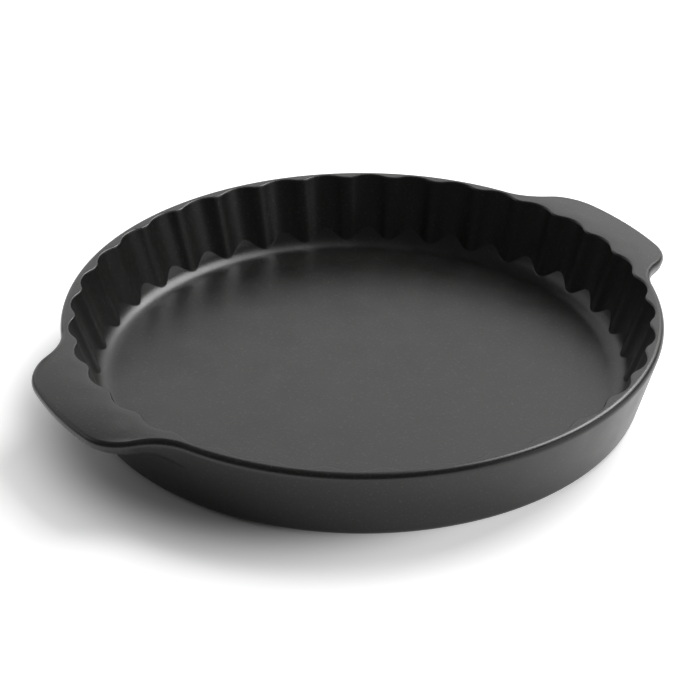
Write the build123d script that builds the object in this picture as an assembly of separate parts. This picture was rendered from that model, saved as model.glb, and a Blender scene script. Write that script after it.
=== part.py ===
from build123d import *
import math
import os

# Fluted quiche dish: one thick piece of glazed stoneware with a flat handle on each side.
# Lengths are in millimetres and angles in degrees. +Z is up and X runs through both handles.
# The origin is the middle of the ring that the dish stands on, at the height of the table.

# Outside of the dish
rim_diameter = 300.0
dish_height = 41.0
wall_lean = 15.0
rim_round = 2.75
base_round = 4.5
floor_thickness = 4.0
floor_seam_inset = 3.0

# Ring of bare clay under the dish
foot_height = 1.0
foot_width = 7.0
foot_inset = 6.0
foot_round = 0.4

# Fluted inside of the wall
flute_count = 36
flute_draft = 18.6
ridge_round = 9.0
flute_depth_at_rim = 3.1
flute_depth_at_floor = 2.4
rim_land = 4.0
rim_inner_round = 1.2

# Hollow curve between the flat floor and the feet of the flutes
cove_run = 6.5
cove_round = 12.0
cove_slope = 60.0
flute_foot_round = 1.5

# Handles
handle_reach = 21.75
handle_width = 103.5
handle_lean = 23.0
handle_root_blend = 28.0
handle_corner_round = 26.0
handle_thickness = 8.0
handle_droop_round = 101.0
handle_droop_gap = 0.2
handle_under_blend = 10.0
handle_under_round = 2.2
handle_seam_gap = 0.6

# How far a cutting shape runs past the surface that it cuts
overrun = 2.0

# How much of a flat the rounding beside it may take
round_share = 0.96


def tan(angle):
    """Tangent of an angle in degrees."""
    return math.tan(math.radians(angle))


def sin(angle):
    """Sine of an angle in degrees."""
    return math.sin(math.radians(angle))


def cos(angle):
    """Cosine of an angle in degrees."""
    return math.cos(math.radians(angle))


# Radii that the driving sizes settle
rim_radius = rim_diameter / 2
sharp_rim_radius = rim_radius + rim_round * ((1 + sin(wall_lean)) / cos(wall_lean) - 1)
handle_radius = sharp_rim_radius + handle_reach
floor_top = foot_height + floor_thickness
wall_height = dish_height - floor_top
hollow_at_rim = rim_radius - rim_land
hollow_at_floor = hollow_at_rim - wall_height * tan(flute_draft)
floor_radius = hollow_at_floor - flute_depth_at_floor - cove_run
floor_seam = floor_radius - floor_seam_inset
handle_half = handle_width / 2
droop_start = rim_radius - rim_round - handle_droop_gap


def wall_radius(z):
    """Radius of the leaning outer face of the wall at height z."""
    return sharp_rim_radius - (dish_height - z) * tan(wall_lean)


def radius_of(vertex):
    """Distance of a vertex from the middle of the dish."""
    return math.hypot(vertex.X, vertex.Y)


def polar(radius, angle, z):
    """Point at a radius and an angle round the dish."""
    return Vector(radius * cos(angle), radius * sin(angle), z)


def handle_root():
    """Distance along X from the middle to where the sharp flank of a handle would leave the rim."""
    return math.sqrt(sharp_rim_radius**2 - handle_half**2)


def handle_seam():
    """Distance along X from the middle to the flat seams, just past the ends of the root blends."""
    blend_x = handle_root() + handle_root_blend * sin(handle_lean)
    blend_y = handle_half + handle_root_blend * cos(handle_lean)
    along = blend_x * cos(handle_lean) - blend_y * sin(handle_lean)
    reach = sharp_rim_radius + handle_root_blend
    run = math.sqrt(along**2 + reach**2 - blend_x**2 - blend_y**2) - along
    return handle_root() + run * cos(handle_lean) + handle_seam_gap


def corner_round():
    """Radius of the handle corners, where the flank has room for it beside the root blend."""
    across = handle_root() * sin(handle_lean) + handle_half * cos(handle_lean)
    blend_room = 2 * handle_root_blend * (sharp_rim_radius - across)
    room = handle_radius**2 - sharp_rim_radius**2 - blend_room
    return min(handle_corner_round, round_share * room / (2 * (handle_radius - across)))


def handle_plan(side):
    """Plan of one handle with sharp corners. Its flanks close in towards the outer edge."""
    root_x = handle_root()
    along = root_x * cos(handle_lean) - handle_half * sin(handle_lean)
    flank = math.sqrt(along**2 + handle_radius**2 - sharp_rim_radius**2) - along
    tip_x = root_x + flank * cos(handle_lean)
    tip_y = handle_half - flank * sin(handle_lean)
    inner = Polyline(
        (side * tip_x, tip_y),
        (side * root_x, handle_half),
        (0, handle_half),
        (0, -handle_half),
        (side * root_x, -handle_half),
        (side * tip_x, -tip_y),
    )
    outer = ThreePointArc((side * tip_x, -tip_y), (side * handle_radius, 0), (side * tip_x, tip_y))
    return make_face(inner + outer)


def dish_plan():
    """Outline of the rim and both handles, with blended roots and rounded corners."""
    plan = Circle(sharp_rim_radius) + handle_plan(1) + handle_plan(-1)
    middle = (sharp_rim_radius + handle_radius) / 2
    roots = [v for v in plan.vertices() if abs(v.Y) > overrun and radius_of(v) < middle]
    plan = fillet(roots, handle_root_blend)
    corners = [v for v in plan.vertices() if radius_of(v) > handle_radius - overrun]
    return fillet(corners, corner_round())


def blend_foot():
    """Height where the blend under a handle runs out into the wall."""
    setback = handle_under_blend * tan((90 - wall_lean) / 2)
    return dish_height - handle_thickness - setback * cos(wall_lean)


def droop(radius):
    """How far the top of a handle has curved down below the rim at a radius."""
    return handle_droop_round - math.sqrt(handle_droop_round**2 - (radius - droop_start) ** 2)


def above_handle():
    """What is cleared away above the handles, whose tops curve down from the land of the rim."""
    far = handle_radius + overrun
    start = (droop_start, dish_height)
    middle = (droop_start + far) / 2
    end = (far, dish_height - droop(far))
    top = dish_height + overrun
    arc = ThreePointArc(start, (middle, dish_height - droop(middle)), end)
    rest = Polyline(end, (far, top), (droop_start, top), start)
    return revolve(Plane.XZ * make_face(arc + rest), axis=Axis.Z)


def is_top_edge(edge):
    """Whether an edge is part of the sharp top outline of the rim and the handles."""
    above = min(v.Z for v in edge.vertices()) > dish_height - handle_thickness
    return above and min(radius_of(v) for v in edge.vertices()) > rim_radius


def rim_slab():
    """Upper part of the dish with both handles: the plan drawn down at the lean of the wall."""
    slab = extrude(dish_plan(), amount=blend_foot() - dish_height, taper=wall_lean)
    slab = Pos(0, 0, dish_height) * slab - above_handle()
    return fillet([e for e in slab.edges() if is_top_edge(e)], rim_round)


def under_handle():
    """What is cleared away below the handles, with the blend that carries them into the wall."""
    underside = dish_height - handle_thickness
    corner = wall_radius(underside)
    foot = blend_foot()
    start = (wall_radius(foot), foot)
    end = (corner + (underside - foot) / cos(wall_lean), underside)
    far = handle_radius + overrun
    below = foot - overrun
    blend = TangentArc(start, end, tangent=(sin(wall_lean), cos(wall_lean)))
    rest = Polyline(end, (far, underside), (far, below), (start[0], below), start)
    return revolve(Plane.XZ * make_face(blend + rest), axis=Axis.Z)


def lower_wall():
    """Lower part of the dish, from the blends down to the rounded base edge."""
    foot = blend_foot()
    points = [(0, foot_height), (wall_radius(foot_height), foot_height), (wall_radius(foot), foot), (0, foot)]
    profile = make_face(Polyline(*points, close=True))
    base = profile.vertices().sort_by_distance(points[1])[0]
    return revolve(Plane.XZ * fillet(base, base_round), axis=Axis.Z)


def flute_outline(z):
    """Wavy outline at height z: round ridges that face inwards, with flatter hollows between."""
    share = (z - floor_top) / wall_height
    hollow = hollow_at_floor + (hollow_at_rim - hollow_at_floor) * share
    depth = flute_depth_at_floor + (flute_depth_at_rim - flute_depth_at_floor) * share
    half_step = 180 / flute_count
    ridge_middle = hollow - depth + ridge_round
    lift = ridge_middle - hollow
    sag = ridge_middle * (1 - cos(half_step))
    hollow_round = (lift**2 + 2 * sag * hollow - ridge_round**2) / (2 * (ridge_round + sag - lift))
    arcs = []
    for flute in range(flute_count):
        angle = 2 * half_step * flute
        ridge = polar(ridge_middle, angle, z)
        left = polar(hollow - hollow_round, angle - half_step, z)
        right = polar(hollow - hollow_round, angle + half_step, z)
        next_ridge = polar(ridge_middle, angle + 2 * half_step, z)
        start = ridge + (left - ridge).normalized() * ridge_round
        middle = ridge + (right - ridge).normalized() * ridge_round
        end = next_ridge + (right - next_ridge).normalized() * ridge_round
        arcs.append(ThreePointArc(start, polar(hollow - depth, angle, z), middle))
        arcs.append(ThreePointArc(middle, polar(hollow, angle + half_step, z), end))
    return Wire(arcs)


def bowl():
    """Round bowl with the flat floor and the cove, wide enough to hold the flutes."""
    half_slope = cove_slope / 2
    cove_middle = (
        floor_radius + cove_round * sin(half_slope),
        floor_top + cove_round * (1 - cos(half_slope)),
    )
    cove_end = (
        floor_radius + cove_round * sin(cove_slope),
        floor_top + cove_round * (1 - cos(cove_slope)),
    )
    rise = dish_height + 2 * overrun - cove_end[1]
    side_end = (cove_end[0] + rise / tan(cove_slope), cove_end[1] + rise)
    edge = Line((0, floor_top), (floor_radius, floor_top))
    edge += ThreePointArc((floor_radius, floor_top), cove_middle, cove_end)
    edge += Polyline(cove_end, side_end, (0, side_end[1]), (0, floor_top))
    return revolve(Plane.XZ * make_face(edge), axis=Axis.Z)


def is_flute_foot(edge):
    """Whether an edge is one where a flute meets the cove, and not a ring of the cove itself."""
    lowest = min(v.Z for v in edge.vertices())
    highest = max(v.Z for v in edge.vertices())
    inside = lowest > floor_top + overrun / 2 and highest < dish_height
    return inside and edge.geom_type != GeomType.CIRCLE


def hollow():
    """The whole hollow of the dish, as the solid that would fill it."""
    outlines = [flute_outline(floor_top - overrun), flute_outline(dish_height + overrun)]
    fill = Solid.make_loft(outlines, ruled=True) & bowl()
    feet = [e for e in fill.edges() if is_flute_foot(e)]
    return fillet(feet, flute_foot_round)


def dish():
    """The whole stoneware body above its foot."""
    body = rim_slab() - under_handle() + lower_wall() - hollow()
    land_edge = rim_radius - rim_round
    middle = (hollow_at_rim + land_edge) / 2
    top = body.edges().group_by(Axis.Z)[-1]
    crests = [e for e in top if max(radius_of(v) for v in e.vertices()) < middle]
    crest_round = min(rim_inner_round, (land_edge - hollow_at_rim) * round_share)
    return fillet(crests, crest_round)


def between_seams():
    """Slab between the two flat seams where the handles start."""
    return Box(2 * handle_seam(), 2 * handle_radius, 2 * dish_height + overrun)


def is_lower_edge(edge, level):
    """Whether an edge runs round the underside of a handle, off the seam and past the blend."""
    below = max(v.Z for v in edge.vertices()) < level
    reach = max(abs(v.X) for v in edge.vertices())
    off_seam = reach > handle_seam() + handle_seam_gap * (1 - round_share)
    blend_end = wall_radius(blend_foot()) + handle_under_blend
    return below and off_seam and min(radius_of(v) for v in edge.vertices()) > blend_end


def handles(body):
    """Both handles beyond their seams, with the lower edges rounded."""
    pair = body - between_seams()
    side_top = dish_height - droop(handle_radius) - rim_round
    side_foot = dish_height - handle_thickness
    lower = [e for e in pair.edges() if is_lower_edge(e, (side_top + side_foot) / 2)]
    return fillet(lower, min(handle_under_round, side_top - side_foot))


def fluted_wall(body):
    """Everything between the seams with the handles and round the seam with the floor."""
    return (body & between_seams()) - Cylinder(floor_seam, 2 * dish_height)


def floor_disc():
    """The flat floor, up to its seam with the wall just inside the cove."""
    disc = Cylinder(floor_seam, floor_thickness, align=(Align.CENTER, Align.CENTER, Align.MIN))
    return Pos(0, 0, foot_height) * disc


def foot_ring():
    """The ring of bare clay that the dish stands on."""
    outer = wall_radius(foot_height) - foot_inset
    centred = (Align.CENTER, Align.CENTER, Align.MIN)
    ring = Cylinder(outer, foot_height, align=centred)
    ring -= Cylinder(outer - foot_width, foot_height, align=centred)
    return fillet(ring.edges().group_by(Axis.Z)[0], foot_round)


def save(name, shape):
    """Write one node. It is a single solid."""
    solid = shape.solids()[0]
    print(name, "volume", round(solid.volume), "valid", solid.is_valid, "solids", len(shape.solids()))
    export_step(solid, "parts/" + name + ".step")


os.makedirs("parts", exist_ok=True)
stoneware = dish()
handle_pair = handles(stoneware).solids().sort_by(Axis.X)
save("handle_left", handle_pair[0])
save("handle_right", handle_pair[-1])
save("fluted_wall", fluted_wall(stoneware))
save("floor_disc", floor_disc())
save("foot_ring", foot_ring())
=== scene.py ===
# %% [markdown]
# A fluted quiche dish is pressed or cast from one lump of stoneware clay: a flat floor, a leaning
# wall with a fluted inside, and a flat ear on each side to lift it by. It is glazed satin black
# all over, except for the ring that it stands on.
# The dish could be sculpted, or built as a boolean of simple solids. Here it grows like a pot on
# a wheel: one loop of points is extruded again and again, and each new loop is laid on its place
# in the profile. That keeps every edge loop clean, so the glaze reflects without dents.
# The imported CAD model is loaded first, because every piece has to sit where its CAD node sits.

# %% Load the CAD model
import math

import bmesh
import bpy
import numpy as np
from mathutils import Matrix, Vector


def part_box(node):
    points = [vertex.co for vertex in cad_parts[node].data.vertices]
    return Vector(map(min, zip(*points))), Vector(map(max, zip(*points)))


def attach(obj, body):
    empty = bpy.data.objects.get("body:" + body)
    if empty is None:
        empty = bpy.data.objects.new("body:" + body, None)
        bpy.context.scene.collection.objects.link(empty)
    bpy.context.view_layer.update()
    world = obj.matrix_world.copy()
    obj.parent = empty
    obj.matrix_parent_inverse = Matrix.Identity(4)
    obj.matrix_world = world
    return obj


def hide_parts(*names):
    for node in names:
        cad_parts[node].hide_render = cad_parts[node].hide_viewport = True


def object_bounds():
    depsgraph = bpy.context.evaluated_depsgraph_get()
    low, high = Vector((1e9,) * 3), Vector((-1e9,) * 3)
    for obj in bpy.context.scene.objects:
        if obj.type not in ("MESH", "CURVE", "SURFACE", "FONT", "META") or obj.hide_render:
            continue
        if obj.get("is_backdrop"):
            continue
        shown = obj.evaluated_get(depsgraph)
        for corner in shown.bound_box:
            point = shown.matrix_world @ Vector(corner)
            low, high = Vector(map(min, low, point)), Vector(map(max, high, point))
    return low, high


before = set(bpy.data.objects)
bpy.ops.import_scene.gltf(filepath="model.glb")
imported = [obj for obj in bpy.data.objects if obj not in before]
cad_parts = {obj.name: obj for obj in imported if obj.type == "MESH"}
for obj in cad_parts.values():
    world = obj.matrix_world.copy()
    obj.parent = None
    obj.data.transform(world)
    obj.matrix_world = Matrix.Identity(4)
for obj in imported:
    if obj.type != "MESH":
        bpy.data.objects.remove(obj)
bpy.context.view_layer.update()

# %% [markdown]
# Nothing in the photo shows the real size. Such dishes are sold at about 28 to 30 cm, so the rim is
# taken to be 300 mm across, and the height of 41 mm follows as its share of the rim.
# All sizes are written in millimetres, as a potter would give them, and turned into Blender's
# metres at the last moment, when a point gets its place.
# The plan has a round rim and two ears. The wall leans out by 15 degrees, so each level of the
# outside is the plan drawn in by a little more. One function that gives the plan at any inset is
# therefore enough for the rim, the ears, their rounded edges and the wall.

# %% Sizes of the dish
MM = 0.001
COLUMNS_PER_FLUTE = 24
FLUTES = 36
COLUMNS = FLUTES * COLUMNS_PER_FLUTE

TOP = 41.0
UNDERSIDE = 1.0
FLOOR_TOP = 5.0
COVE_START = 124.985
SEAM_INSET = 3.0
FLOOR_SEAM = COVE_START - SEAM_INSET
LEAN = math.radians(15.0)
RIM_ROUND = 2.75
RIM_RADIUS = 150.0
# The rim before its edge is rounded, a little wider than the finished one
RIM = RIM_RADIUS + RIM_ROUND * ((1 + math.sin(LEAN)) / math.cos(LEAN) - 1)
BASE_ROUND = 4.5

ANGLES = np.radians(np.arange(COLUMNS) * 360.0 / COLUMNS)
print("columns", COLUMNS, "sharp rim radius", round(RIM, 3))

# %% [markdown]
# Each ear has straight flanks that close in towards the tip, round corners, and a wide blend
# where it leaves the rim. Seen from the middle of the dish, every direction meets the outline
# once, so the outline can be written as a radius for each angle.

# %% Outline of the rim and the ears
EAR_REACH = 21.75
EAR_HALF = 51.75
FLANK = math.radians(23.0)
ROOT_BLEND = 28.0
CORNER_ROUND = 26.0


def cross(direction, centre, radius, far):
    """Distance from the middle, along a direction, to where it meets a circle."""
    along = direction @ centre
    rest = np.sqrt(np.maximum(along**2 - centre @ centre + radius**2, 0.0))
    return along + rest if far else along - rest


FLANK_OUT = np.array([math.sin(FLANK), math.cos(FLANK)])
FLANK_ALONG = np.array([math.cos(FLANK), -math.sin(FLANK)])
FLANK_FOOT = np.array([math.sqrt(RIM**2 - EAR_HALF**2), EAR_HALF])


def circle_centre(offset, reach):
    """Centre of a blend at this distance from the flank and at this distance from the middle."""
    start = FLANK_FOOT + FLANK_OUT * offset
    along = start @ FLANK_ALONG
    return start + FLANK_ALONG * (math.sqrt(along**2 + reach**2 - start @ start) - along)


ROOT_CENTRE = circle_centre(ROOT_BLEND, RIM + ROOT_BLEND)
CORNER_CENTRE = circle_centre(-CORNER_ROUND, RIM + EAR_REACH - CORNER_ROUND)


def angle_of(point):
    """Angle of a point, seen from the middle."""
    return math.atan2(point[1], point[0])


def outline(angles, inset):
    """Radius of the plan for each angle, drawn in by the inset."""
    inset = np.broadcast_to(np.asarray(inset, float), angles.shape)
    x, y = np.abs(np.cos(angles)), np.abs(np.sin(angles))
    radius = np.empty(angles.shape)
    for i in range(len(angles)):
        ray, turn, drawn = np.array([x[i], y[i]]), math.atan2(y[i], x[i]), inset[i]
        if turn >= angle_of(ROOT_CENTRE):
            radius[i] = RIM - drawn
        elif turn <= angle_of(CORNER_CENTRE):
            radius[i] = RIM + EAR_REACH - drawn
        elif turn >= angle_of(ROOT_CENTRE - FLANK_OUT * (ROOT_BLEND + drawn)):
            radius[i] = cross(ray, ROOT_CENTRE, ROOT_BLEND + drawn, far=False)
        elif turn >= angle_of(CORNER_CENTRE + FLANK_OUT * (CORNER_ROUND - drawn)):
            radius[i] = (FLANK_OUT @ FLANK_FOOT - drawn) / (FLANK_OUT @ ray)
        else:
            radius[i] = cross(ray, CORNER_CENTRE, CORNER_ROUND - drawn, far=True)
    return radius


print("outline from", round(outline(ANGLES, 0).min(), 2), "to", round(outline(ANGLES, 0).max(), 2))

# %% [markdown]
# The inside of the wall is a wave of 36 rounded ridges with flatter hollows between them. The
# wave leans out with the wall and gets a little deeper towards the rim. It is made of two arcs,
# which keeps the ridges as round as the real ones. Drawing both arcs back by the same distance
# gives the edge where the flutes roll over into the rim.

# %% Wave of the flutes
HOLLOW_AT_RIM = 146.0
FLUTE_DRAFT = math.radians(18.6)
HOLLOW_AT_FLOOR = HOLLOW_AT_RIM - (TOP - FLOOR_TOP) * math.tan(FLUTE_DRAFT)
DEPTH_AT_RIM = 3.1
DEPTH_AT_FLOOR = 2.4
RIDGE_ROUND = 9.0
HALF_FLUTE = math.pi / FLUTES


def flute(angles, height, drawn=0.0):
    """Radius of the fluted wall for each angle, at a height, drawn back into the clay."""
    height = np.broadcast_to(np.asarray(height, float), angles.shape)
    drawn = np.broadcast_to(np.asarray(drawn, float), angles.shape)
    share = (height - FLOOR_TOP) / (TOP - FLOOR_TOP)
    hollow = HOLLOW_AT_FLOOR + (HOLLOW_AT_RIM - HOLLOW_AT_FLOOR) * share
    depth = DEPTH_AT_FLOOR + (DEPTH_AT_RIM - DEPTH_AT_FLOOR) * share
    ridge_centre = hollow - depth + RIDGE_ROUND
    lift = ridge_centre - hollow
    sag = ridge_centre * (1 - math.cos(HALF_FLUTE))
    hollow_round = (lift**2 + 2 * sag * hollow - RIDGE_ROUND**2) / (2 * (RIDGE_ROUND + sag - lift))
    turned = angles % (2 * HALF_FLUTE)
    turned = np.minimum(turned, 2 * HALF_FLUTE - turned)
    middle = hollow - hollow_round
    gap_x = ridge_centre - middle * math.cos(HALF_FLUTE)
    gap_y = middle * math.sin(HALF_FLUTE)
    near = RIDGE_ROUND - drawn
    side = near / np.hypot(gap_x, gap_y)
    change = np.arctan2(gap_y * side, ridge_centre - gap_x * side)
    on_ridge = ridge_centre * np.cos(turned)
    ridge = on_ridge - np.sqrt(np.maximum(on_ridge**2 - ridge_centre**2 + near**2, 0))
    on_hollow = middle * np.cos(HALF_FLUTE - turned)
    valley = on_hollow + np.sqrt(on_hollow**2 - middle**2 + (hollow_round + drawn) ** 2)
    return np.where(turned <= change, ridge, valley)


print("flutes at the rim", round(flute(ANGLES, TOP).min(), 2), "to", round(flute(ANGLES, TOP).max(), 2))

# %% [markdown]
# Where the floor turns up there is a cove, a hollow curve that a spoon or a sponge can follow.
# The flutes rise out of it, each with a small soft foot. For every column of points the meeting
# of the two is found by halving an interval, and the sharp corner is replaced by a short arc.

# %% Cove and the feet of the flutes
COVE_ROUND = 12.0
COVE_SLOPE = math.radians(60.0)
FOOT_ROUND = 1.5
HALVINGS = 40
LONGEST_RUN = 20.0


def cove(run):
    """Radius and height at a distance along the cove, which ends in a straight slope."""
    arc = np.minimum(run / COVE_ROUND, COVE_SLOPE)
    straight = np.maximum(run - COVE_ROUND * COVE_SLOPE, 0.0)
    radius = COVE_START + COVE_ROUND * np.sin(arc) + straight * math.cos(COVE_SLOPE)
    height = FLOOR_TOP + COVE_ROUND * (1 - np.cos(arc)) + straight * math.sin(COVE_SLOPE)
    return radius, height


def meeting(first, second, inside):
    """Halves the interval until inside() changes from true to false at its middle."""
    first, second = first.copy(), second.copy()
    for _ in range(HALVINGS):
        middle = (first + second) / 2
        within = inside(middle)
        first, second = np.where(within, middle, first), np.where(within, second, middle)
    return (first + second) / 2


def under_flutes(run):
    """Whether the cove, at this distance along it, hasn't reached the flutes yet."""
    radius, height = cove(run)
    return radius < flute(ANGLES, height)


foot_run = meeting(np.zeros(COLUMNS), np.full(COLUMNS, LONGEST_RUN), under_flutes)
foot_radius, foot_height = cove(foot_run)
print("feet of the flutes from", round(foot_height.min(), 2), "to", round(foot_height.max(), 2))

# %% [markdown]
# A profile is a list of loops. Each loop holds a radius and a height for every column, so the
# same list describes the round parts, where all columns are alike, and the flutes and ears.
# The inside of the dish comes first, from the seam with the floor up to the rim.

# %% Loops of the inside
loops = []


def add(radius, height):
    """Adds one loop to the profile."""
    loops.append(tuple(np.broadcast_to(value, (COLUMNS,)).copy() for value in (radius, height)))


def rounded(corner, before, after, radius, steps):
    """Points of an arc that rounds a corner. The ways in and out are unit directions (columns, 2)."""
    turn = np.arccos(np.clip((before * after).sum(1), -1, 1))
    setback = radius * np.tan(turn / 2)
    points = []
    for t in np.linspace(0, 1, steps):
        a = turn * t
        ahead = radius * np.sin(a) - setback
        aside = radius * (1 - np.cos(a))
        side = after - before * (before * after).sum(1)[:, None]
        side = side / np.maximum(np.hypot(*side.T), 1e-9)[:, None]
        points.append(corner + before * ahead[:, None] + side * aside[:, None])
    return np.array(points)


add(COVE_START, FLOOR_TOP)
nudge = 0.01
cove_way = np.stack(cove(foot_run), 1) - np.stack(cove(foot_run - nudge), 1)
wall_way = np.stack([flute(ANGLES, foot_height + nudge) - foot_radius, np.full(COLUMNS, nudge)], 1)
cove_way = cove_way / np.hypot(*cove_way.T)[:, None]
wall_way = wall_way / np.hypot(*wall_way.T)[:, None]
corner = np.stack([foot_radius, foot_height], 1)
foot_arc = rounded(corner, cove_way, wall_way, FOOT_ROUND, 5)
foot_turn = np.arccos(np.clip((cove_way * wall_way).sum(1), -1, 1))
foot_setback = FOOT_ROUND * np.tan(foot_turn / 2)
for share in np.linspace(0, 1, 8)[1:-1]:
    add(*cove((foot_run - foot_setback) * share))
for point in foot_arc:
    add(point[:, 0], point[:, 1])
print("loops so far", len(loops))

# %% [markdown]
# At the top the flutes roll over into the rim with a small radius. The arc is laid square to the
# wavy edge: its plan is the wave drawn back by the distance that the arc has covered.

# %% Loops of the flutes and their crest
CREST_ROUND = 1.2
CREST_STEPS = 7
lean_of_wall = np.arctan((flute(ANGLES, TOP) - flute(ANGLES, TOP - 1.0)) / 1.0)
turn_of_crest = math.pi / 2 - lean_of_wall
crest_setback = CREST_ROUND * np.tan(turn_of_crest / 2)
wall_top = TOP - CREST_ROUND * (1 - np.cos(turn_of_crest))
foot_top = foot_arc[-1][:, 1]
for share in (0.02, 0.35, 0.68, 0.985):
    height = foot_top + (wall_top - foot_top) * share
    add(flute(ANGLES, height), height)
for share in np.linspace(1, 0, CREST_STEPS):
    turned = turn_of_crest * share
    height = TOP - CREST_ROUND * (1 - np.cos(turned))
    drawn = crest_setback - CREST_ROUND * np.sin(turned)
    add(flute(ANGLES, np.full(COLUMNS, TOP), drawn), height)
print("loops so far", len(loops))

# %% [markdown]
# The outside starts with the top of the rim and its rounded edge. From the land of the rim the top
# of each ear falls away in a shallow curve, so that the tip is 2.6 mm lower. 8 mm below the rim
# the ears end in their level underside, which a wide blend carries into the wall. The same loops
# run on round the rest of the wall.

# %% Loops of the rim and the outside
EAR_THICKNESS = 8.0
FALL_ROUND = 101.0
LAND_GAP = 0.2
FALL_START = RIM_RADIUS - RIM_ROUND - LAND_GAP
UNDER_BLEND = 10.0
UNDER_ROUND = 2.2
SUPPORT = 0.15
SETTLING_STEPS = 12


def wall(height):
    """Radius of the plain leaning wall at a height."""
    return RIM - (TOP - height) * math.tan(LEAN)


def fall(radius):
    """How far the top of an ear has curved down at a radius."""
    past = np.maximum(radius - FALL_START, 0.0)
    return FALL_ROUND - np.sqrt(FALL_ROUND**2 - past**2)


flare = outline(ANGLES, 0.0) - RIM
centre_drop = np.zeros(COLUMNS)
for _ in range(SETTLING_STEPS):
    centre_inset = RIM_ROUND / math.cos(LEAN) + (RIM_ROUND + centre_drop) * math.tan(LEAN)
    centre_radius = outline(ANGLES, centre_inset)
    tilt = np.arcsin(np.clip((centre_radius - FALL_START) / (FALL_ROUND - RIM_ROUND), 0.0, 1.0))
    centre_drop = (FALL_ROUND - RIM_ROUND) * (1 - np.cos(tilt))
land_outer = outline(ANGLES, centre_inset - RIM_ROUND * np.sin(tilt))
land_inner = loops[-1][0]
print("ear tips fall by", round(float(centre_drop.max()), 2))

add(land_inner + (land_outer - land_inner) * 0.2, TOP)
for share in (0.5, 0.8):
    radius = FALL_START + (land_outer - SUPPORT - FALL_START) * share
    gathered = np.where(flare > 0.5, radius, land_inner + (land_outer - land_inner) * (0.2 + 0.7 * share))
    add(gathered, TOP - fall(gathered))
add(land_outer - SUPPORT, TOP - fall(land_outer - SUPPORT))
for share in np.linspace(0, 1, 10):
    turned = tilt + (math.pi / 2 + LEAN - tilt) * share
    inset = centre_inset - RIM_ROUND * np.sin(turned)
    add(outline(ANGLES, inset), TOP - centre_drop - RIM_ROUND * (1 - np.cos(turned)))
side_top = loops[-1][1]
side_radius = loops[-1][0]

under_corner = TOP - EAR_THICKNESS
blend_turn = math.pi / 2 - LEAN
blend_setback = UNDER_BLEND * math.tan(blend_turn / 2)
blend_foot = under_corner - blend_setback * math.cos(LEAN)
BLEND_POINTS = 60
TIP_OVERRUN = 5.0
blend_points = []
for turned in np.linspace(0, blend_turn, BLEND_POINTS):
    across = UNDER_BLEND * (1 - math.cos(turned))
    up = UNDER_BLEND * math.sin(turned)
    blend_points.append((
        wall(blend_foot) + up * math.sin(LEAN) + across * math.cos(LEAN),
        blend_foot + up * math.cos(LEAN) - across * math.sin(LEAN),
    ))
tip = RIM + EAR_REACH + TIP_OVERRUN
blend_points.append((tip, under_corner))
blend_points = np.array(blend_points)


def under(radius):
    """Height of the blend and the underside of an ear at a radius."""
    return np.interp(radius, blend_points[:, 0], blend_points[:, 1])


def above_under(depth):
    """Whether the leaning side, this far below the rim, is still above the ear's underside."""
    height = TOP - depth
    radius = outline(ANGLES, depth * math.tan(LEAN))
    return height > under(radius) + 1e-4


edge_depth = meeting(TOP - side_top, np.full(COLUMNS, TOP - blend_foot), above_under)
edge_height = TOP - edge_depth
edge_radius = outline(ANGLES, edge_depth * math.tan(LEAN))
print("ear edge between", round(edge_height.min(), 2), "and", round(edge_height.max(), 2))

# %% [markdown]
# Every column now has its own way down: along the leaning side, round the lower edge of the ear,
# and back along the underside to the wall. Columns away from the ears simply follow the wall.
# Each way is drawn with many points first, and the loops are then laid at shares of its length.
# Near the ears the loops gather on the rounded edge, and elsewhere they spread evenly.

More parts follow.
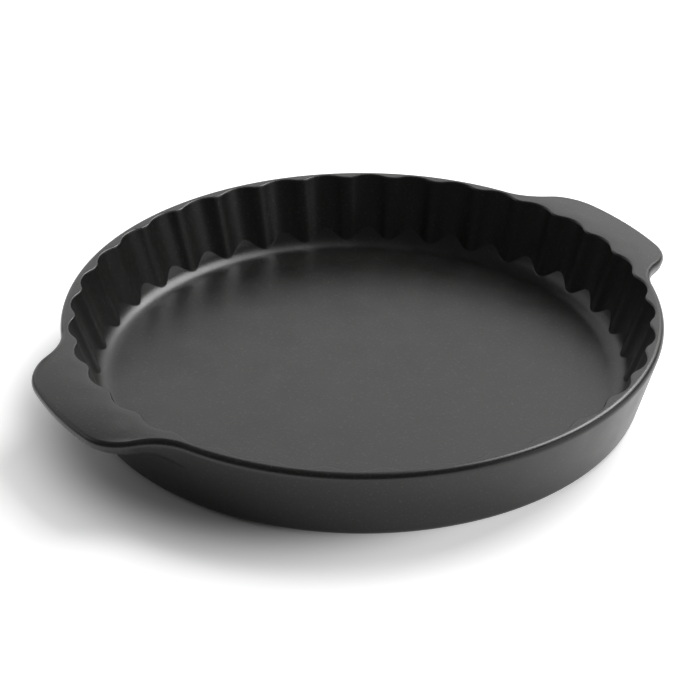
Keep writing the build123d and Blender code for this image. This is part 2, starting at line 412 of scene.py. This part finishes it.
# %% Loops of the ears' sides and undersides
SIDE_STEPS, EDGE_STEPS, UNDER_STEPS, BLEND_STEPS = 3, 6, 4, 6
SIDE_POINTS, ARC_POINTS, BACK_POINTS, PLAIN_POINTS = 7, 13, 200, 60
ARC_END = SIDE_POINTS + ARC_POINTS - 1
PROBE = 0.3
SIDE_SHARE, BACK_SHARE, UNDER_SHARE = 0.7, 0.45, 0.25
PLAIN_FLARE, FULL_FLARE = 1e-3, 0.4
ways, marks = [], []
for c in range(COLUMNS):
    corner_point = np.array([edge_radius[c], edge_height[c]])
    start = np.array([side_radius[c], side_top[c]])
    inner_end = np.array([wall(blend_foot), blend_foot])
    if flare[c] < PLAIN_FLARE:
        ways.append(np.vstack([start + (inner_end - start) * t for t in np.linspace(0, 1, PLAIN_POINTS)]))
        marks.append(None)
        continue
    radii = np.linspace(edge_radius[c], wall(blend_foot), BACK_POINTS)
    back = np.stack([radii, under(radii)], 1)
    steps = np.hypot(*np.diff(back, axis=0).T)
    run = np.concatenate([[0], np.cumsum(steps)])
    side = (start - corner_point) / np.hypot(*(start - corner_point))
    probe = np.array([np.interp(PROBE, run, back[:, k]) for k in (0, 1)]) - corner_point
    probe = probe / np.hypot(*probe)
    turn = math.acos(np.clip(-(side @ probe), -1, 1))
    room = min(SIDE_SHARE * np.hypot(*(start - corner_point)), BACK_SHARE * run[-1])
    reach = min(UNDER_ROUND * math.tan(turn / 2), room)
    edge_start = corner_point + side * reach
    edge_end = np.array([np.interp(reach, run, back[:, k]) for k in (0, 1)])
    arc = []
    weight = math.cos(turn / 2)
    for t in np.linspace(0, 1, ARC_POINTS):
        a, b, d = (1 - t) ** 2, 2 * t * (1 - t) * weight, t * t
        arc.append((edge_start * a + corner_point * b + edge_end * d) / (a + b + d))
    rest = [p for p, l in zip(back, run) if l > reach]
    side_points = [start + (edge_start - start) * t for t in np.linspace(0, 1, SIDE_POINTS + 1)[:-1]]
    way = np.vstack([side_points, arc, rest])
    ways.append(way)
    length = np.concatenate([[0], np.cumsum(np.hypot(*np.diff(way, axis=0).T))])
    blend_end = blend_points[BLEND_POINTS - 1, 0]
    blend_run = np.interp(-blend_end, -way[ARC_END + 1:, 0], length[ARC_END + 1:])
    blend_run = max(blend_run, length[ARC_END] + UNDER_SHARE * (length[-1] - length[ARC_END]))
    marks.append((length[SIDE_POINTS], length[ARC_END], blend_run, length[-1]))

total_steps = SIDE_STEPS + EDGE_STEPS + UNDER_STEPS + BLEND_STEPS
even = np.linspace(0, 1, total_steps + 1)[1:]
down = np.empty((total_steps, COLUMNS, 2))
for c in range(COLUMNS):
    way = ways[c]
    length = np.concatenate([[0], np.cumsum(np.hypot(*np.diff(way, axis=0).T))])
    shares = even
    if marks[c]:
        edge_from, edge_to, blend_from, end = marks[c]
        runs = np.concatenate([
            np.linspace(0, edge_from, SIDE_STEPS + 1)[1:],
            np.linspace(edge_from, edge_to, EDGE_STEPS + 1)[1:],
            np.linspace(edge_to, blend_from, UNDER_STEPS + 1)[1:],
            np.linspace(blend_from, end, BLEND_STEPS + 1)[1:],
        ])
        gather = min(flare[c] / FULL_FLARE, 1.0)
        shares = gather * runs / end + (1 - gather) * even
    for k in (0, 1):
        down[:, c, k] = np.interp(shares * length[-1], length, way[:, k])
for loop in down:
    add(loop[:, 0], loop[:, 1])
print("loops so far", len(loops))

# %% [markdown]
# Below the ears the wall is a plain cone. It turns under with a radius of 4.5 mm, so that the
# dish lifts off a shelf without chipping, and ends flat 1 mm above the table.

# %% Loops of the lower wall and the base
base_setback = BASE_ROUND * math.tan((math.pi / 2 - LEAN) / 2)
base_corner = wall(UNDERSIDE)
base_top = UNDERSIDE + base_setback * math.cos(LEAN)
for share in (0.5, 0.985):
    height = blend_foot + (base_top - blend_foot) * share
    add(wall(height), height)
for share in np.linspace(0, 1, 8):
    normal = LEAN + (math.pi / 2 - LEAN) * share
    add(
        base_corner - base_setback + BASE_ROUND * math.cos(normal),
        UNDERSIDE + BASE_ROUND - BASE_ROUND * math.sin(normal),
    )
add(base_corner - base_setback - SUPPORT, UNDERSIDE)
add(FLOOR_SEAM, UNDERSIDE)
print("loops in the profile", len(loops))

# %% [markdown]
# Now the body is made. A circle of points is laid on the seam between floor and wall, the loop is
# extruded once for each loop of the profile, and the last loop is bridged to the first. The
# result is one closed skin, as on the real dish, and it is cut into pieces only afterwards.

# %% Body of the dish
def deselect():
    """Leaves nothing selected, because an operator acts on all that is."""
    for thing in bpy.context.selected_objects:
        thing.select_set(False)


def only(thing):
    """Makes one object the selected and active one."""
    deselect()
    thing.select_set(True)
    bpy.context.view_layer.objects.active = thing


def lay(mesh, radius, height):
    """Lays the selected points on a loop of the profile, each in its own column."""
    skin = bmesh.from_edit_mesh(mesh)
    for point in skin.verts:
        if point.select:
            angle = math.atan2(point.co.y, point.co.x)
            c = round(angle / (2 * math.pi) * COLUMNS) % COLUMNS
            point.co = Vector((
                radius[c] * math.cos(ANGLES[c]), radius[c] * math.sin(ANGLES[c]), height[c]
            )) * MM
    bmesh.update_edit_mesh(mesh)


deselect()
bpy.ops.mesh.primitive_circle_add(
    vertices=COLUMNS, radius=FLOOR_SEAM * MM, fill_type="NOTHING", location=(0, 0, FLOOR_TOP * MM)
)
bpy.ops.object.transform_apply(location=True, rotation=True, scale=True)
body = bpy.context.object
body.name = "dish_body"
bpy.ops.object.mode_set(mode="EDIT")
bpy.ops.mesh.select_all(action="SELECT")
lay(body.data, np.full(COLUMNS, FLOOR_SEAM), np.full(COLUMNS, FLOOR_TOP))
for radius, height in loops:
    bpy.ops.mesh.extrude_edges_move()
    lay(body.data, radius, height)
bpy.ops.mesh.select_all(action="DESELECT")
bpy.ops.mesh.select_mode(type="EDGE")
skin = bmesh.from_edit_mesh(body.data)
for edge in skin.edges:
    edge.select_set(edge.is_boundary)
bmesh.update_edit_mesh(body.data)
bpy.ops.mesh.bridge_edge_loops()
bpy.ops.mesh.select_all(action="SELECT")
bpy.ops.mesh.normals_make_consistent(inside=False)
bpy.ops.object.mode_set(mode="OBJECT")
print("body", len(body.data.vertices), "points", len(body.data.polygons), "faces")

# %% [markdown]
# The CAD model keeps each ear as a part of its own, so the skin is copied and cut at the same two
# planes. The cuts are flat and closed, and the surface runs straight across them, so no line
# shows. Bisect does this in one step, where a boolean could leave slivers.

# %% Wall and ears
seam_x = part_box("handle_right")[0].x


def cut(name, planes):
    """A copy of the body, cut by planes (position along X, side that is kept)."""
    only(body)
    bpy.ops.object.duplicate()
    piece = bpy.context.object
    piece.name = name
    bpy.ops.object.mode_set(mode="EDIT")
    for place, keep in planes:
        bpy.ops.mesh.select_all(action="SELECT")
        bpy.ops.mesh.bisect(
            plane_co=(place, 0, 0), plane_no=(-keep, 0, 0), use_fill=True, clear_outer=True
        )
    bpy.ops.object.mode_set(mode="OBJECT")
    print(name, len(piece.data.polygons), "faces")
    return piece


wall_piece = cut("dish_wall", [(seam_x, -1), (-seam_x, 1)])
right_ear = cut("ear_right", [(seam_x, 1)])
left_ear = cut("ear_left", [(-seam_x, -1)])
bpy.data.objects.remove(body)

# %% [markdown]
# The floor is a plain flat disc. Its edge shares its points with the wall, so the two meet
# without a gap.

# %% Floor
deselect()
bpy.ops.mesh.primitive_circle_add(
    vertices=COLUMNS, radius=FLOOR_SEAM * MM, fill_type="NGON", location=(0, 0, UNDERSIDE * MM)
)
bpy.ops.object.transform_apply(location=True, rotation=True, scale=True)
floor_piece = bpy.context.object
floor_piece.name = "dish_floor"
bpy.ops.object.mode_set(mode="EDIT")
bpy.ops.mesh.select_all(action="SELECT")
lay(floor_piece.data, np.full(COLUMNS, FLOOR_SEAM), np.full(COLUMNS, UNDERSIDE))
bpy.ops.mesh.extrude_region_move(
    TRANSFORM_OT_translate={"value": (0, 0, (FLOOR_TOP - UNDERSIDE) * MM)}
)
bpy.ops.mesh.select_all(action="SELECT")
bpy.ops.mesh.normals_make_consistent(inside=False)
bpy.ops.object.mode_set(mode="OBJECT")
print("floor", len(floor_piece.data.polygons), "faces")

# %% [markdown]
# The glaze would weld the dish to the kiln shelf, so the potter wipes it off a low ring under the
# dish. That ring is bare clay. It is a flat ring of faces, given its height by an extrusion, and
# its lower edges are softened with a bevel.

# %% Foot ring
RING_INSET = 6.0
RING_OUTER = base_corner - RING_INSET
RING_WIDTH = 7.0
RING_SOFT = 0.4
RING_POINTS = 288
deselect()
bpy.ops.mesh.primitive_circle_add(
    vertices=RING_POINTS, radius=RING_OUTER * MM, fill_type="NGON", location=(0, 0, UNDERSIDE * MM)
)
bpy.ops.object.transform_apply(location=True, rotation=True, scale=True)
ring_piece = bpy.context.object
ring_piece.name = "foot_clay"
bpy.ops.object.mode_set(mode="EDIT")
bpy.ops.mesh.select_all(action="SELECT")
bpy.ops.mesh.inset(thickness=RING_WIDTH * MM, depth=0)
bpy.ops.mesh.delete(type="FACE")
bpy.ops.mesh.select_all(action="SELECT")
bpy.ops.mesh.extrude_region_move(TRANSFORM_OT_translate={"value": (0, 0, -UNDERSIDE * MM)})
bpy.ops.mesh.select_all(action="DESELECT")
bpy.ops.mesh.select_mode(type="EDGE")
skin = bmesh.from_edit_mesh(ring_piece.data)
for edge in skin.edges:
    low = all(v.co.z < 0.1 * MM for v in edge.verts)
    side_face = any(abs(f.normal.z) < 0.5 for f in edge.link_faces)
    edge.select_set(low and side_face)
bmesh.update_edit_mesh(ring_piece.data)
bpy.ops.mesh.bevel(offset=RING_SOFT * MM, segments=4, profile=0.5, affect="EDGES")
bpy.ops.mesh.select_all(action="SELECT")
bpy.ops.mesh.normals_make_consistent(inside=False)
bpy.ops.object.mode_set(mode="OBJECT")
print("foot", len(ring_piece.data.polygons), "faces")

# %% [markdown]
# Glaze flows into a smooth skin, but the flat seams and the rim of the ring are true corners. Faces
# that meet at less than 35 degrees are therefore shaded as one surface, and the others are not.

# %% Smooth shading
SMOOTH_BELOW = math.radians(35)
pieces = [wall_piece, right_ear, left_ear, floor_piece, ring_piece]
for piece in pieces:
    only(piece)
    bpy.ops.object.shade_smooth_by_angle(angle=SMOOTH_BELOW)
print("pieces", [piece.name for piece in pieces])

# %% [markdown]
# The glaze is a satin black stoneware glaze: glass melted on the clay in the kiln, with fine
# crystals in it that soften the shine. It gives the eye a near-black body with broad, soft
# reflections that brighten at a glancing look, and a few paler grains.
# The grains are drawn at about 1 mm, coarser than real ones, so that a pixel can show them.
# The bare clay of the ring was wiped clean before firing. It gives the eye a dull grey-brown with a
# fine sandy grain and no shine.

# %% Materials
def srgb(text, alpha=1.0):
    """Linear colour of an sRGB hex value."""
    channels = [int(text[i:i + 2], 16) / 255 for i in (0, 2, 4)]
    linear = [c / 12.92 if c <= 0.04045 else ((c + 0.055) / 1.055) ** 2.4 for c in channels]
    return (*linear, alpha)


def node(tree, kind, settings=(), links=()):
    """Adds one node, sets its properties and sockets, and links its inputs."""
    made = tree.nodes.new(kind)
    for name, value in dict(settings).items():
        if isinstance(name, str) and hasattr(made, name) and name not in made.inputs:
            setattr(made, name, value)
        else:
            made.inputs[name].default_value = value
    for name, source in dict(links).items():
        tree.links.new(source, made.inputs[name])
    return made


def material(name):
    """An empty material and its node tree."""
    made = bpy.data.materials.new(name)
    made.use_nodes = True
    made.node_tree.nodes.clear()
    return made, made.node_tree


# Grains of the glaze, patches of its shine and sand in the clay, in millimetres. They are written as
# fractions because they give whole numbers to the metre: 900, 60 and 1200.
GRAIN, PATCH, SAND = 10 / 9, 50 / 3, 5 / 6

glaze, tree = material("satin_black_stoneware_glaze")
place = node(tree, "ShaderNodeTexCoord")
speck = node(
    tree, "ShaderNodeTexNoise", {"Scale": 1 / (GRAIN * MM), "Detail": 2.0},
    {"Vector": place.outputs["Object"]},
)
broad = node(
    tree, "ShaderNodeTexNoise", {"Scale": 1 / (PATCH * MM), "Detail": 2.0},
    {"Vector": place.outputs["Object"]},
)
rough = node(
    tree, "ShaderNodeMapRange", {"From Min": 0.3, "From Max": 0.7, "To Min": 0.3, "To Max": 0.36},
    {"Value": broad.outputs["Fac"]},
)
bump = node(tree, "ShaderNodeBump", {"Strength": 0.3, "Distance": 0.0001}, {"Height": speck.outputs["Fac"]})
crystal = node(
    tree, "ShaderNodeMapRange", {"From Min": 0.58, "From Max": 0.72}, {"Value": speck.outputs["Fac"]}
)
colour = node(
    tree, "ShaderNodeMix", {"data_type": "RGBA", "A": srgb("171716"), "B": srgb("32312e")},
    {"Factor": crystal.outputs["Result"]},
)
shader = node(
    tree, "ShaderNodeBsdfPrincipled", {"IOR": 1.5},
    {
        "Base Color": colour.outputs["Result"], "Roughness": rough.outputs["Result"],
        "Normal": bump.outputs["Normal"],
    },
)
node(tree, "ShaderNodeOutputMaterial", links={"Surface": shader.outputs["BSDF"]})

clay, tree = material("bare_fired_stoneware")
place = node(tree, "ShaderNodeTexCoord")
grain = node(
    tree, "ShaderNodeTexNoise", {"Scale": 1 / (SAND * MM), "Detail": 3.0},
    {"Vector": place.outputs["Object"]},
)
tone = node(
    tree, "ShaderNodeMix", {"data_type": "RGBA", "A": srgb("6f665a"), "B": srgb("8f8474")},
    {"Factor": grain.outputs["Fac"]},
)
shader = node(
    tree, "ShaderNodeBsdfPrincipled", {"Roughness": 0.85}, {"Base Color": tone.outputs["Result"]}
)
node(tree, "ShaderNodeOutputMaterial", links={"Surface": shader.outputs["BSDF"]})

print("materials", glaze.name, "and", clay.name)

# %% [markdown]
# Each dressed piece takes the place of its CAD node. All of them ride on the root, because the dish
# has no moving part.

# %% Put the pieces in the frame
for piece, finish, nodes, slot in (
    (wall_piece, glaze, ["fluted_wall"], "black_satin_glaze"),
    (right_ear, glaze, ["handle_right"], "black_satin_glaze"),
    (left_ear, glaze, ["handle_left"], "black_satin_glaze"),
    (floor_piece, glaze, ["floor_disc"], "black_satin_glaze"),
    (ring_piece, clay, ["foot_ring"], "bare_clay"),
):
    piece.data.materials.clear()
    piece.data.materials.append(finish)
    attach(piece, "root")
    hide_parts(*nodes)

# %% [markdown]
# The camera is where the photo was taken from: 30 degrees above the table and 1.1 m away. Its place
# and lens were fitted to the outlines of the rim, the base and the ears. AIM is the point of the
# picture, in pixels, where the middle of the rim lies.

# %% Camera
CAMERA_TURN = math.radians(-33.69)
CAMERA_RISE = math.radians(30.05)
CAMERA_DISTANCE = 1.102
FOCUS = 2205.5
IMAGE = 700
SENSOR = 36.0
AIM = (362.02, 305.79)
ahead = Vector((
    -math.sin(CAMERA_TURN) * math.cos(CAMERA_RISE), math.cos(CAMERA_TURN) * math.cos(CAMERA_RISE),
    -math.sin(CAMERA_RISE),
))
right = ahead.cross(Vector((0, 0, 1))).normalized()
level = Vector((ahead.x, ahead.y, 0)).normalized()


def studio(turn, lift, distance):
    """A place at a turn from the camera's right, a lift above the table and a distance."""
    turn, lift = math.radians(turn), math.radians(lift)
    flat = (right * math.cos(turn) + level * math.sin(turn)) * math.cos(lift)
    return (flat + Vector((0, 0, math.sin(lift)))) * distance


camera_data = bpy.data.cameras.new("camera")
camera_data.sensor_width = SENSOR
camera_data.lens = FOCUS * SENSOR / IMAGE
camera = bpy.data.objects.new("camera", camera_data)
bpy.context.collection.objects.link(camera)
centre = Vector((0, 0, TOP * MM))
camera.location = centre - ahead * CAMERA_DISTANCE
sideways = math.atan((AIM[0] - IMAGE / 2) / FOCUS)
upwards = math.atan((AIM[1] - IMAGE / 2) / FOCUS)
look = ahead * math.cos(sideways) - right * math.sin(sideways)
upright = right.cross(ahead).normalized()
look = look * math.cos(upwards) + upright * math.sin(upwards)
camera.rotation_euler = look.to_track_quat("-Z", "Y").to_euler()
bpy.context.scene.camera = camera
bpy.context.scene.view_settings.view_transform = "Standard"
print("lens", round(camera_data.lens, 2))

# %% [markdown]
# The dish in the photo looks lit by one large soft light behind it on the right, with paler walls
# round it and little light from above or from the camera's side. The table is white card.
# Away from the dish the card glows a little, much as an overexposed background looks. That glow is
# painted light. Only the eye and reflections meet it, and matt surfaces get no light from it. It
# fades out round a point on the side where the shadow falls, so the dark patch there is the real
# shadow together with painted shade where the glow is missing.

# %% Table and light
TABLE_SIZE = 16.0
# The card's glow is painted light, and the patch where it fades out is painted shade on top of the real
# shadow.
GLOW_FROM, GLOW_TO = 0.088, 0.138
PAINTED_GLOW = 0.5
SHADOW_MIDDLE = studio(218, 0, 0.06)
deselect()
bpy.ops.mesh.primitive_plane_add(size=TABLE_SIZE, location=(0, 0, 0))
table = bpy.context.object
table.name = "table"
paper, tree = material("white_card_table_painted_glow")
path = node(tree, "ShaderNodeLightPath")
spot = node(tree, "ShaderNodeTexCoord")
matte = node(tree, "ShaderNodeBsdfDiffuse", {"Color": srgb("f0f0f0")})
sight = node(
    tree, "ShaderNodeMath", {"operation": "MAXIMUM"},
    {0: path.outputs["Is Camera Ray"], 1: path.outputs["Is Glossy Ray"]},
)
sight = node(
    tree, "ShaderNodeMath", {"operation": "MAXIMUM"},
    {0: sight.outputs["Value"], 1: path.outputs["Is Transmission Ray"]},
)
# Painted shade: the glow is missing round a point on the side where the shadow falls.
away = node(
    tree, "ShaderNodeVectorMath", {"operation": "DISTANCE", 1: SHADOW_MIDDLE}, {0: spot.outputs["Object"]}
)
rise = node(
    tree, "ShaderNodeMapRange",
    {"interpolation_type": "SMOOTHSTEP", "From Min": GLOW_FROM, "From Max": GLOW_TO, "To Max": PAINTED_GLOW},
    {"Value": away.outputs["Value"]},
)
strength = node(
    tree, "ShaderNodeMath", {"operation": "MULTIPLY"},
    {0: sight.outputs["Value"], 1: rise.outputs["Result"]},
)
glow = node(tree, "ShaderNodeEmission", {"Color": srgb("ffffff")}, {"Strength": strength.outputs["Value"]})
both = node(tree, "ShaderNodeAddShader", {}, {0: matte.outputs["BSDF"], 1: glow.outputs["Emission"]})
node(tree, "ShaderNodeOutputMaterial", links={"Surface": both.outputs["Shader"]})
table.data.materials.append(paper)
table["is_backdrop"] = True
print("table", TABLE_SIZE, "m wide, shadow kept round", [round(v, 3) for v in SHADOW_MIDDLE])

ROOM = 0.12
world = bpy.data.worlds.new("studio")
bpy.context.scene.world = world
world.use_nodes = True
world.node_tree.nodes["Background"].inputs["Color"].default_value = (1, 1, 1, 1)
world.node_tree.nodes["Background"].inputs["Strength"].default_value = ROOM


def softbox(name, place, target, size, power):
    """A rectangular lamp that faces the dish."""
    data = bpy.data.lights.new(name, "AREA")
    data.shape = "RECTANGLE"
    data.size, data.size_y = size
    data.energy = power
    lamp = bpy.data.objects.new(name, data)
    bpy.context.collection.objects.link(lamp)
    lamp.location = place
    lamp.rotation_euler = (Vector(target) - Vector(place)).to_track_quat("-Z", "Y").to_euler()
    return lamp

# %% [markdown]
# Each lamp is a soft box that faces the dish. It is described by how bright its face looks, where 1
# is white, because that is what the glaze shows in its reflections. The power follows from that.

# %% Lamps
def watts(brightness, size):
    """Power that gives a lamp of this size its brightness."""
    return brightness * math.pi * size[0] * size[1]


# Turn from the camera's right and lift, in degrees, then distance and size in metres, brightness
for name, turn, lift, distance, size, brightness in (
    ("key_back_right", 42, 50, 2.0, (1.05, 1.05), 10.5),
    ("pale_back_wall", 90, 27, 3.0, (5.0, 1.9), 1.2),
    ("pale_left_wall", 158, 27, 3.0, (2.2, 1.7), 0.8),
    ("pale_right_wall", 350, 20, 2.8, (2.6, 1.2), 1.3),
):
    softbox(name, studio(turn, lift, distance), (0, 0, 0), size, watts(brightness, size))

# %% [markdown]
# The box round the dressed dish, without the table, is printed.

low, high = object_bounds()
print("visual box", [round(v, 4) for v in (*low, *high)])
